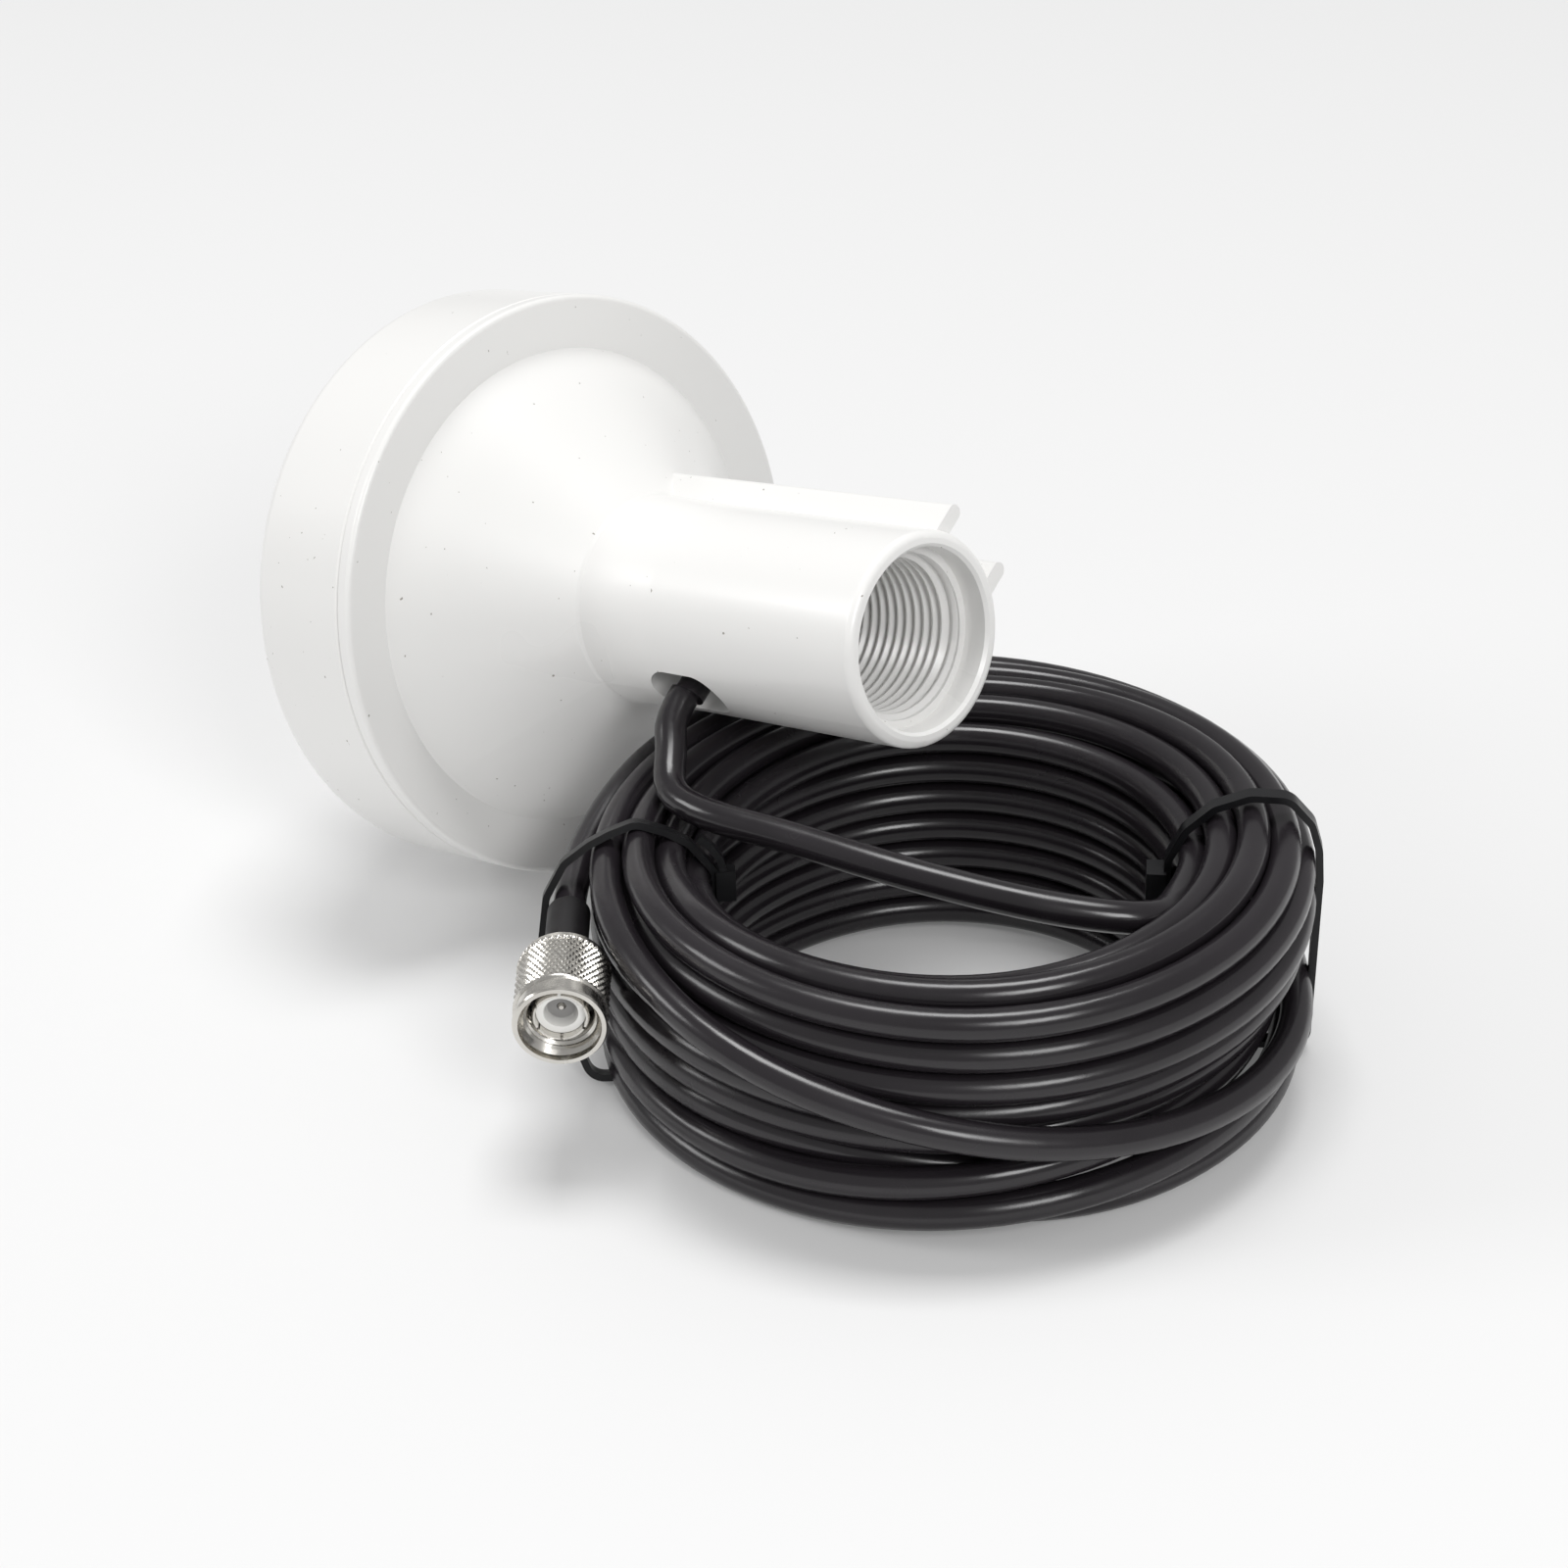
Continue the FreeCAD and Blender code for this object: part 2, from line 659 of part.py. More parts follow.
collar = body("braid_collar")
drawn = rings(collar, "collar_sketch", [(0, 0, of("cable_radius")),
                                        (0, 0, of("core_insulation_radius"))],
              height=-of("ledge_depth"))
extrude(collar, "collar_tube", drawn, of("ledge_depth") + of("jacket_start"))
nodes["braid_collar"] = collar

grommet = body("cable_grommet")
revolve(grommet, "grommet_ring", [
    (of("cable_radius"), of("partition_place") - of("grommet_lip")),
    (of("grommet_flange"), of("partition_place") - of("grommet_lip")),
    (of("grommet_flange"), of("partition_place")),
    (of("grommet_radius"), of("partition_place")),
    (of("grommet_radius"), passage_start),
    (of("grommet_flange"), passage_start),
    (of("grommet_flange"), passage_start + of("grommet_lip")),
    (of("cable_radius"), passage_start + of("grommet_lip")),
])
nodes["cable_grommet"] = grommet
antenna_nodes = list(nodes)

# Plug: drawn about the Z axis with z = 0 at the nut's front, facing +Z
nut = body("coupling_nut")
neck_hole = of("plug_neck_radius") + of("nut_hole_gap")
band_start = of("nut_front_length")
band_end = of("nut_front_length") + of("nut_band_length")
knurl_end = of("nut_length") - of("nut_back_length")
revolve(nut, "nut_ring", [
    (of("nut_mouth_radius"), 0),
    (of("nut_radius") - 0.3, 0),
    (of("nut_radius") - 0.1, -0.3),
    (of("nut_radius") - 0.1, -band_start),
    (of("nut_band_radius"), -(band_start + 0.3)),
    (of("nut_band_radius"), -(band_end - 0.3)),
    (of("nut_radius"), -band_end),
    (of("nut_radius"), -knurl_end),
    (of("nut_radius") - 0.35, -(knurl_end + 0.2)),
    (of("nut_radius") - 0.35, -(of("nut_length") - 0.4)),
    (of("nut_radius") - 0.75, -of("nut_length")),
    (neck_hole, -of("nut_length")),
    (neck_hole, -of("nut_wall_place")),
    (of("nut_relief_radius"), -of("nut_wall_place")),
    (of("nut_relief_radius"), -of("nut_thread_end")),
    (of("nut_thread_radius"), -(of("nut_thread_end") - 0.4)),
    (of("nut_thread_radius"), -2.0),
    (of("nut_mouth_radius"), -1.2),
])
nodes["coupling_nut"] = nut

plug = body("connector_body")
flange_end = of("plug_flange_place") + of("plug_flange_length")
seat_end = of("plug_flange_place") + of("contact_seat")
ring_front = of("nut_wall_place") - of("snap_ring_gap") - of("snap_ring_thickness")
ring_back = of("nut_wall_place") - of("snap_ring_gap")
revolve(plug, "plug_shell", [
    (of("contact_radius"), -of("plug_flange_place")),
    (of("plug_flange_radius"), -of("plug_flange_place")),
    (of("plug_flange_radius"), -flange_end),
    (of("plug_neck_radius"), -flange_end),
    (of("plug_neck_radius"), -ring_front),
    (of("snap_ring_groove"), -ring_front),
    (of("snap_ring_groove"), -ring_back),
    (of("plug_neck_radius"), -ring_back),
    (of("plug_neck_radius"), -(of("plug_end") - 0.5)),
    (of("plug_neck_radius") - 0.5, -of("plug_end")),
    (of("plug_bore_radius"), -of("plug_end")),
    (of("plug_bore_radius"), -seat_end),
    (of("contact_radius"), -seat_end),
])
nodes["connector_body"] = plug

contact = body("outer_contact")
contact_inner = of("contact_radius") - of("contact_wall")
tube = revolve(contact, "contact_tube", [
    (contact_inner, -of("contact_front")),
    (of("contact_radius") - 0.2, -of("contact_front")),
    (of("contact_radius"), -(of("contact_front") + 0.3)),
    (of("contact_radius"), -seat_end),
    (contact_inner, -seat_end),
])
doc.recompute()
volume = tube.Shape.Volume
slit_half = of("contact_slit") * half
drawn = outline(contact, "slit_sketch", [
    (contact_inner - 0.5, slit_half), (contact_inner - 0.5, -slit_half),
    (of("contact_radius") + 0.5, -slit_half), (of("contact_radius") + 0.5, slit_half),
], role="XY_Plane", height=-(of("contact_front") + of("contact_slit_length")))
slit = extrude(contact, "contact_slit", drawn, of("contact_slit_length") + 0.5, cut=True,
               reverse=True)
volume = volume_change(slit, contact, volume, -1)
slits = polar(contact, "contact_slits", [slit], 6)
volume_change(slits, contact, volume, -1)
nodes["outer_contact"] = contact

insulator = body("insulator")
insulator_radius = contact_inner - of("insulator_gap")
cup_end = of("insulator_front") + of("insulator_cup_depth")
revolve(insulator, "insulator_plug", [
    (of("insulator_cup_radius"), -of("insulator_front")),
    (insulator_radius, -of("insulator_front")),
    (insulator_radius, -seat_end),
    (of("plug_pin_radius"), -seat_end),
    (of("plug_pin_radius"), -cup_end),
    (of("insulator_cup_radius") - 0.3, -cup_end),
])
nodes["insulator"] = insulator

pin = body("centre_pin")
revolve(pin, "pin_turned", [
    (0, -of("plug_pin_front")),
    (of("plug_pin_radius") * 0.5, -of("plug_pin_front")),
    (of("plug_pin_radius"), -(of("plug_pin_front") + 0.6)),
    (of("plug_pin_radius"), -seat_end),
    (of("plug_pin_collar"), -seat_end),
    (of("plug_pin_collar"), -of("plug_end")),
    (0, -of("plug_end")),
])
nodes["centre_pin"] = pin

snap = body("retaining_ring")
snap_blank = revolve(snap, "snap_blank", [
    (of("snap_ring_groove"), -ring_front),
    (of("snap_ring_radius"), -ring_front),
    (of("snap_ring_radius"), -ring_back),
    (of("snap_ring_groove"), -ring_back),
])
doc.recompute()
volume = snap_blank.Shape.Volume
drawn = outline(snap, "snap_gap_sketch", [
    (of("snap_ring_groove") - 1, plain(0.6)), (of("snap_ring_groove") - 1, plain(-0.6)),
    (of("snap_ring_radius") + 1, plain(-0.6)), (of("snap_ring_radius") + 1, plain(0.6)),
], role="XY_Plane", height=-(ring_back + 0.5))
gap = extrude(snap, "snap_gap", drawn, of("snap_ring_thickness") + 1, cut=True, reverse=True)
volume_change(gap, snap, volume, -1)
nodes["retaining_ring"] = snap

gasket = body("gasket")
drawn = rings(gasket, "gasket_sketch", [
    (0, 0, of("plug_flange_radius") - of("gasket_gap")),
    (0, 0, of("contact_radius") + of("gasket_gap")),
], height=-of("plug_flange_place"))
extrude(gasket, "gasket_ring", drawn, of("gasket_thickness"))
nodes["gasket"] = gasket

ferrule = body("crimp_ferrule")
ferrule_inner = of("cable_radius") + of("cable_fit_gap")
ferrule_outer = ferrule_inner + of("ferrule_wall")
ferrule_end = of("plug_end") + of("ferrule_length")
drawn = rings(ferrule, "ferrule_sketch", [(0, 0, ferrule_outer), (0, 0, ferrule_inner)],
              height=-ferrule_end)
extrude(ferrule, "ferrule_tube", drawn, of("ferrule_length"))
nodes["crimp_ferrule"] = ferrule

boot = body("boot")
revolve(boot, "boot_sleeve", [
    (ferrule_outer + of("cable_fit_gap"), -of("plug_end")),
    (of("boot_radius"), -of("plug_end")),
    (of("boot_radius"), -(of("boot_end") - 0.6)),
    (of("boot_radius") - 0.4, -of("boot_end")),
    (ferrule_inner, -of("boot_end")),
    (ferrule_inner, -(ferrule_end + of("cable_fit_gap"))),
    (ferrule_outer + of("cable_fit_gap"), -(ferrule_end + of("cable_fit_gap"))),
])
nodes["boot"] = boot
plug_nodes = [name for name in nodes if name not in antenna_nodes]

# Cable ties: narrow straps pulled round the coil, each with its lock on the inner side of the
# coil and the cut end of the strap standing out of it. The left one takes in the plug's cable
# and leans, so that its foot stands nearer to the plug than its top. Corners are (distance from
# the coil's middle, height) of the strands that the strap holds.
TIES = {
    "tie_left": (TIE_LEFT_AZIMUTH, TIE_LEFT_LEAN, (34.4, 30.1),
                 [(34.5, 31.4), (35.2, 34.1), (36.7, 36.2), (38.4, 37.5)], [
        (39.2, 2.8), (39.0, 31.0), (41.8, 34.4), (44.5, 35.9), (47.8, 37.0), (50.6, 36.0),
        (53.4, 34.6), (56.6, 32.3), (58.9, 28.2), (59.8, 22.0), (59.2, 17.0), (54.0, 2.8)]),
    "tie_right": (TIE_RIGHT_AZIMUTH, TIE_RIGHT_LEAN, (31.6, 29.6),
                  [(31.6, 28.0), (31.4, 24.0), (31.7, 19.0)], [
        (36.3, 3.9), (36.3, 33.0), (38.2, 37.2), (41.4, 40.4), (45.6, 42.1), (49.4, 42.0),
        (51.7, 39.4), (52.8, 35.8), (53.2, 31.0), (53.2, 3.9)]),
}


def tie_frame(azimuth, lean):
    turn = FreeCAD.Rotation(FreeCAD.Vector(0, 0, 1), azimuth)
    tip = FreeCAD.Rotation(FreeCAD.Vector(1, 0, 0), lean)
    down = FreeCAD.Placement(FreeCAD.Vector(0, 0, -TIE_TOP), FreeCAD.Rotation())
    leaned = FreeCAD.Placement(FreeCAD.Vector(0, 0, TIE_TOP), tip).multiply(down)
    return FreeCAD.Placement(FreeCAD.Vector(*COIL_CENTRE, 0), turn).multiply(leaned)


def tie_face(corners, reach):
    wire = Part.makePolygon([FreeCAD.Vector(r, 0, z) for r, z in corners + corners[:1]])
    return Part.Face(wire).makeOffset2D(reach)


def tie_slab(face, width):
    moved = face.copy()
    moved.translate(FreeCAD.Vector(0, -width / 2, 0))
    return moved.extrude(FreeCAD.Vector(0, width, 0))


def tie_end(points):
    """The strap's cut end: a strip of the strap's section along these (distance, height)."""
    line = [FreeCAD.Vector(r, 0, z) for r, z in points]
    sides = [[], []]
    for i, here in enumerate(line):
        way = (line[min(i + 1, len(line) - 1)] - line[max(i - 1, 0)]).normalize()
        across = FreeCAD.Vector(way.z, 0, -way.x) * (SIZES["tie_thickness"] * half)
        sides[0].append(here + across)
        sides[1].insert(0, here - across)
    ring = sides[0] + sides[1]
    return tie_slab(Part.Face(Part.makePolygon(ring + ring[:1])), SIZES["tie_width"])


hold = SIZES["cable_radius"]
for name, (azimuth, lean, lock, cut_end, corners) in TIES.items():
    outer = tie_slab(tie_face(corners, hold + SIZES["tie_thickness"]), SIZES["tie_width"])
    loop = outer.cut(tie_slab(tie_face(corners, hold), SIZES["tie_width"] + 2))
    deep, wide, tall = SIZES["lock_height"], SIZES["lock_width"], SIZES["lock_length"]
    corner_at = FreeCAD.Vector(lock[0] - deep * half, -wide * half, lock[1] - tall * half)
    head_block = Part.makeBox(deep, wide, tall, corner_at)
    shape = loop.fuse([head_block, tie_end(cut_end)]).removeSplitter()
    made = doc.addObject("Part::Feature", name)
    made.Label = name
    made.Shape = shape
    made.Placement = tie_frame(azimuth, lean)
    nodes[name] = made

# Coil: the outer shape of the seventeen turns, with its off-centre opening
coil = body("coil_blank")
coil_hole = of("coil_radius") - of("coil_build")
drawn = rings(coil, "coil_sketch", [
    (0, 0, of("coil_radius")),
    (of("coil_hole_shift"), -of("coil_hole_side_shift"), coil_hole),
])
pad = extrude(coil, "coil_pad", drawn, of("coil_height"))
doc.recompute()


for name, radius, place, size in (
        ("coil_outer_rounding", of("coil_radius"), SIZES["coil_height"], "coil_outer_round"),
        ("coil_inner_rounding", coil_hole, SIZES["coil_height"], "coil_inner_round"),
        ("coil_foot_outer", of("coil_radius"), 0.0, "coil_foot_round"),
        ("coil_foot_inner", coil_hole, 0.0, "coil_foot_round")):
    edge = circle_edges(pad.Shape, radius.value, place)
    pad = soften(coil, name, pad, edge, size)
    doc.recompute()
coil.Placement = FreeCAD.Placement(FreeCAD.Vector(COIL_CENTRE[0], COIL_CENTRE[1], 0),
                                   FreeCAD.Rotation())
doc.recompute()

# The straps pull the turns together, so the coil has a waist where each strap and lock runs
waisted = coil.Shape
for azimuth, lean, lock, cut_end, corners in TIES.values():
    width = SIZES["lock_width"] + 2 * SIZES["tie_gap"]
    start, reach = coil_hole.value * 0.8, SIZES["coil_radius"] * 1.4
    tall = SIZES["coil_height"]
    around = Part.makeBox(reach - start, width, tall * 2,
                          FreeCAD.Vector(start, -width / 2, -tall * half))
    kept = tie_slab(tie_face(corners, hold - SIZES["tie_gap"]), width + 2)
    ring_cut = around.cut(kept)
    ring_cut.Placement = tie_frame(azimuth, lean)
    waisted = waisted.cut(ring_cut)
cable_coil = doc.addObject("Part::Feature", "cable_coil")
cable_coil.Label = "cable_coil"
cable_coil.Shape = waisted
nodes["cable_coil"] = cable_coil
doc.recompute()

# Lay the antenna down: tilted about its head's edge, turned about its own axis
tilt = math.radians(TILT)
axis = FreeCAD.Vector(math.cos(tilt), 0, math.sin(tilt))
up = FreeCAD.Vector(-math.sin(tilt), 0, math.cos(tilt))
laid = FreeCAD.Rotation(up, axis.cross(up), axis, "ZXY")
laid = laid.multiply(FreeCAD.Rotation(FreeCAD.Vector(0, 0, 1), ROLL))
low_edge, back, front = 0.0, 0.0, 0.0
for name in ("radome", "base_housing"):
    shape = nodes[name].Shape.copy()
    shape.Placement = FreeCAD.Placement(FreeCAD.Vector(0, 0, 0), laid)
    box = shape.optimalBoundingBox(False, False)
    low_edge, back, front = min(low_edge, box.ZMin), min(back, box.XMin), max(front, box.XMax)
origin = FreeCAD.Vector(-(back + front) / 2, 0, -low_edge)
for name in antenna_nodes:
    place = FreeCAD.Placement(origin, laid)
    if name == "seal_ring":
        place = place.multiply(FreeCAD.Placement(FreeCAD.Vector(0, 0, seal_place.value),
                                                 FreeCAD.Rotation()))
    nodes[name].Placement = place
print("rim centre", [round(v, 9) for v in origin])

# Turn the plug to its place against the coil's outside
facing = FreeCAD.Vector(*PLUG_AXIS)
facing.normalize()
level = FreeCAD.Vector(0, 0, 1) - facing * facing.z
level.normalize()
plug_turn = FreeCAD.Rotation(level, facing.cross(level), facing, "ZXY")
plug_place = FreeCAD.Placement(FreeCAD.Vector(*PLUG_FRONT), plug_turn)
for name in plug_nodes:
    nodes[name].Placement = plug_place
doc.recompute()

# Free stretches of the cable, as straight runs joined by tangent arcs
slot_mouth = FreeCAD.Placement(origin, laid).multVec(
    FreeCAD.Vector(SIZES["stem_radius"], 0, SIZES["slot_place"]))
slot_way = laid.multVec(FreeCAD.Vector(1, 0, 0))
LEAD = [
    (24.7, -20.6, 46.0), (29.1, -26.0, 43.3), (39.0, -27.2, 43.0), (50.9, -23.6, 42.6),
    (67.0, -20.2, 41.5), (81.0, -14.2, 40.0), (93.0, -8.0, 38.8), (102.3, 0.8, 37.2),
    (105.1, 8.6, 35.6),
]
TAIL = [
    (16.5, -32.6, 31.0), (13.1, -22.2, 33.8), (11.4, -11.0, 36.0), (11.2, 0.9, 37.3),
    (12.9, 12.5, 37.9),
]


def cord(name, points):
    """A tube of the cable's section along the points; prints its arcs and its length."""
    points = [FreeCAD.Vector(*p) for p in points]
    edges, radii, length, at = [], [], 0.0, points[0]
    for i in range(1, len(points) - 1):
        before, here, after = points[i - 1], points[i], points[i + 1]
        way_in, way_out = (here - before).normalize(), (after - here).normalize()
        turn = way_in.getAngle(way_out)
        short = min((here - before).Length, (after - here).Length)
        cut = 0.45 * short
        radii.append(round(cut / math.tan(turn / 2), 1))
        first, last = here - way_in * cut, here + way_out * cut
        middle_way = (way_out - way_in).normalize()
        radius = cut / math.tan(turn / 2)
        centre = here + middle_way * (radius / math.cos(turn / 2))
        middle = centre - middle_way * radius
        edges.append(Part.LineSegment(at, first).toShape())
        edges.append(Part.Arc(first, middle, last).toShape())
        at = last
    edges.append(Part.LineSegment(at, points[-1]).toShape())
    wire = Part.Wire(edges)
    length = wire.Length
    first_way = (points[1] - points[0]).normalize()
    ring = Part.Wire([Part.Circle(points[0], first_way, SIZES["cable_radius"]).toShape()])
    tube = wire.makePipeShell([ring], True, False)
    want = math.pi * SIZES["cable_radius"] ** 2 * length
    print(name, "arc radii", radii, "length", round(length, 1),
          "volume ratio", round(tube.Volume / want, 4))
    made = doc.addObject("Part::Feature", name)
    made.Label = name
    made.Shape = tube
    nodes[name] = made


cord("cable_lead", [slot_mouth, slot_mouth + slot_way * 5.0] + LEAD)
tail_start = plug_place.multVec(FreeCAD.Vector(0, 0, -SIZES["plug_end"]))
tail_leave = plug_place.multVec(FreeCAD.Vector(0, 0, -(SIZES["boot_end"] + 3)))
cord("cable_tail", [tail_start, tail_leave] + TAIL)
doc.recompute()

for item in doc.Objects:
    if "Invalid" in item.State or "Error" in item.State:
        raise RuntimeError("%s: %s" % (item.Name, item.State))
os.makedirs("parts", exist_ok=True)
for name, piece in nodes.items():
    shape = piece.Shape
    if shape.isNull() or not shape.isValid() or not shape.Solids:
        raise RuntimeError("%s has no valid solid" % name)
    box = shape.BoundBox
    print("%-16s solids %d volume %.1f z %.2f..%.2f" % (
        name, len(shape.Solids), shape.Volume, box.ZMin, box.ZMax))
    shape.exportStep("parts/%s.step" % name)
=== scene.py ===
import math

import bmesh
import bpy
import numpy as np
from mathutils import Matrix, Vector


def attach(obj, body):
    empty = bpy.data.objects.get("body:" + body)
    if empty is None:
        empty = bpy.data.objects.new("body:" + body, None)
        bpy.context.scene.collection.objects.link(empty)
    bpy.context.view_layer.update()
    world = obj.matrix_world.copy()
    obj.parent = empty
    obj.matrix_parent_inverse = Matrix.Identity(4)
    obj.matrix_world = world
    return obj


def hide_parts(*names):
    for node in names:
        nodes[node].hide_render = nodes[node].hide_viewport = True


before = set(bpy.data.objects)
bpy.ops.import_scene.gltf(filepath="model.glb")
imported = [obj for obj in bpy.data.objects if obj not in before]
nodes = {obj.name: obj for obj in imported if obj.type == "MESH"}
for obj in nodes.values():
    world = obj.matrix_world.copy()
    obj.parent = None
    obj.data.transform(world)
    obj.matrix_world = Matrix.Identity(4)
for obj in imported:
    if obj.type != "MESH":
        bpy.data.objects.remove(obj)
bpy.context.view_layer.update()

MM = 0.001


# Camera: a long lens from the front right, 30 degrees above the surface, fitted to the
# ellipses of the rim, the neck and the stem's mouth.
CAMERA_PLACE = (0.32886, -0.3141, 0.28287)
CAMERA_LOOK = Vector((-0.6027, 0.6219, -0.5000))
CAMERA_RIGHT = Vector((0.7242, 0.6894, -0.0154))
camera_data = bpy.data.cameras.new("camera")
camera_data.lens = 72.0
camera_data.sensor_width = 36.0
camera_data.shift_x = 0.0106
camera_data.clip_start = 0.01
camera = bpy.data.objects.new("camera", camera_data)
bpy.context.scene.collection.objects.link(camera)
camera_turn = Matrix((CAMERA_RIGHT, CAMERA_RIGHT.cross(CAMERA_LOOK), -CAMERA_LOOK))
camera.matrix_world = Matrix.Translation(CAMERA_PLACE) @ camera_turn.transposed().to_4x4()
bpy.context.scene.camera = camera


# Materials: every surface is built from nodes on object coordinates, so that it keeps its
# scale on each piece.
NOISE_LOW, NOISE_HIGH = 0.3, 0.7


def material(name, color, roughness, metallic=0.0, coat=0.0, specular=0.5):
    made = bpy.data.materials.new(name)
    made.use_nodes = True
    shader = made.node_tree.nodes["Principled BSDF"]
    shader.inputs["Base Color"].default_value = (*color, 1.0)
    shader.inputs["Roughness"].default_value = roughness
    shader.inputs["Metallic"].default_value = metallic
    shader.inputs["Coat Weight"].default_value = coat
    shader.inputs["Coat Roughness"].default_value = 0.12
    shader.inputs["Specular IOR Level"].default_value = specular
    return made


def noise(made, scale, detail=3.0):
    """A noise of about 0.3 to 0.7 with its size set by scale, in turns per metre."""
    tree = made.node_tree
    place = tree.nodes.new("ShaderNodeTexCoord")
    grain = tree.nodes.new("ShaderNodeTexNoise")
    grain.inputs["Scale"].default_value = scale
    grain.inputs["Detail"].default_value = detail
    tree.links.new(place.outputs["Object"], grain.inputs["Vector"])
    return grain.outputs["Fac"]


def ramp(made, value, low, high, start, end):
    """Maps value from low..high to colours or greys start..end."""
    tree = made.node_tree
    scale = tree.nodes.new("ShaderNodeMapRange")
    scale.inputs["From Min"].default_value = low
    scale.inputs["From Max"].default_value = high
    tree.links.new(value, scale.inputs["Value"])
    if isinstance(start, (int, float)):
        scale.inputs["To Min"].default_value = start
        scale.inputs["To Max"].default_value = end
        return scale.outputs["Result"]
    mix = tree.nodes.new("ShaderNodeMix")
    mix.data_type = "RGBA"
    mix.inputs["A"].default_value = (*start, 1.0)
    mix.inputs["B"].default_value = (*end, 1.0)
    tree.links.new(scale.outputs["Result"], mix.inputs["Factor"])
    return mix.outputs["Result"]


def feed(made, value, socket):
    shader = made.node_tree.nodes["Principled BSDF"]
    made.node_tree.links.new(value, shader.inputs[socket])


def grained(name, color, roughness, scale, low, high, **more):
    """A material whose roughness drifts from low to high with a noise."""
    made = material(name, color, roughness, **more)
    feed(made, ramp(made, noise(made, scale), NOISE_LOW, NOISE_HIGH, low, high), "Roughness")
    return made


def bump(made, height, strength, distance):
    tree = made.node_tree
    relief = tree.nodes.new("ShaderNodeBump")
    relief.inputs["Strength"].default_value = strength
    relief.inputs["Distance"].default_value = distance
    tree.links.new(height, relief.inputs["Height"])
    tree.links.new(relief.outputs["Normal"], tree.nodes["Principled BSDF"].inputs["Normal"])


# Moulded ABS: warm white with a soft gloss and a few small dark specks
HOUSING_COLOR = (0.83, 0.825, 0.81)
housing_white = grained("housing_white", HOUSING_COLOR, 0.30, 25.0, 0.27, 0.33, coat=0.15)
feed(housing_white, ramp(housing_white, noise(housing_white, 1100.0, 1.0), 0.785, 0.805,
                         HOUSING_COLOR, (0.32, 0.30, 0.27)), "Base Color")

# Polished PVC jacket: black with a slight red cast and soft streaks of wear along it
cable_black = grained("cable_black", (0.014, 0.0115, 0.014), 0.24, 90.0, 0.17, 0.30)
feed(cable_black, ramp(cable_black, noise(cable_black, 30.0), 0.35, NOISE_HIGH,
                       (0.012, 0.010, 0.012), (0.019, 0.016, 0.019)), "Base Color")
bump(cable_black, noise(cable_black, 500.0, 2.0), 0.03, 0.0002)

# Black nylon of the ties, and the dull shrink sleeve behind the plug
tie_black = grained("tie_black", (0.006, 0.006, 0.007), 0.34, 300.0, 0.28, 0.42, specular=0.35)
boot_black = grained("boot_black", (0.008, 0.007, 0.008), 0.48, 200.0, 0.42, 0.55, specular=0.35)

# Nickel plate: warm grey, with fine turning marks in the roughness
nickel = grained("nickel", (0.66, 0.64, 0.60), 0.22, 700.0, 0.16, 0.30, metallic=1.0)
feed(nickel, ramp(nickel, noise(nickel, 120.0), NOISE_LOW, NOISE_HIGH,
                  (0.60, 0.58, 0.54), (0.70, 0.68, 0.64)), "Base Color")

# Hidden pieces and small ones: tinned metal, copper, rubber, board, ceramic and chip
ptfe_white = grained("ptfe_white", (0.92, 0.915, 0.89), 0.45, 400.0, 0.38, 0.52)
insulator_white_painted_shade = grained("insulator_white_painted_shade", (0.92, 0.915, 0.89), 0.45, 400.0, 0.38, 0.52)
tinned = grained("tinned", (0.62, 0.62, 0.60), 0.38, 250.0, 0.3, 0.48, metallic=1.0)
copper = grained("copper", (0.70, 0.38, 0.24), 0.3, 400.0, 0.24, 0.38, metallic=1.0)
rubber_black = grained("rubber_black", (0.02, 0.02, 0.021), 0.62, 300.0, 0.55, 0.7)
silicone = grained("silicone", (0.30, 0.28, 0.27), 0.55, 300.0, 0.48, 0.62)
ceramic = grained("ceramic", (0.62, 0.55, 0.44), 0.6, 350.0, 0.5, 0.68)
chip_black = grained("chip_black", (0.03, 0.03, 0.033), 0.5, 900.0, 0.42, 0.6)
board_green = material("board_green", (0.02, 0.13, 0.05), 0.35)
feed(board_green, ramp(board_green, noise(board_green, 250.0), 0.45, 0.55,
                       (0.016, 0.11, 0.04), (0.03, 0.17, 0.07)), "Base Color")

LOOKS = {
    "radome": housing_white, "base_housing": housing_white, "seal_ring": rubber_black,
    "cable_grommet": rubber_black, "circuit_board": board_green, "board_screws": tinned,
    "ceramic_patch": ceramic, "patch_electrode": tinned, "feed_pin": tinned,
    "shield_can": tinned, "amplifier_chip": chip_black, "filter_block": ceramic,
    "coax_inner": cable_black, "coax_core": copper, "coax_insulation": ptfe_white,
    "braid_collar": tinned, "tie_left": tie_black, "tie_right": tie_black,
    "connector_body": nickel, "outer_contact": nickel, "insulator": insulator_white_painted_shade,
    "centre_pin": nickel, "retaining_ring": tinned, "gasket": silicone,
    "crimp_ferrule": nickel, "boot": boot_black,
}
for name, look_of in LOOKS.items():
    mesh = nodes[name].data
    if not mesh.materials:
        mesh.materials.append(look_of)
    for index in range(len(nodes[name].material_slots)):
        nodes[name].material_slots[index].material = look_of


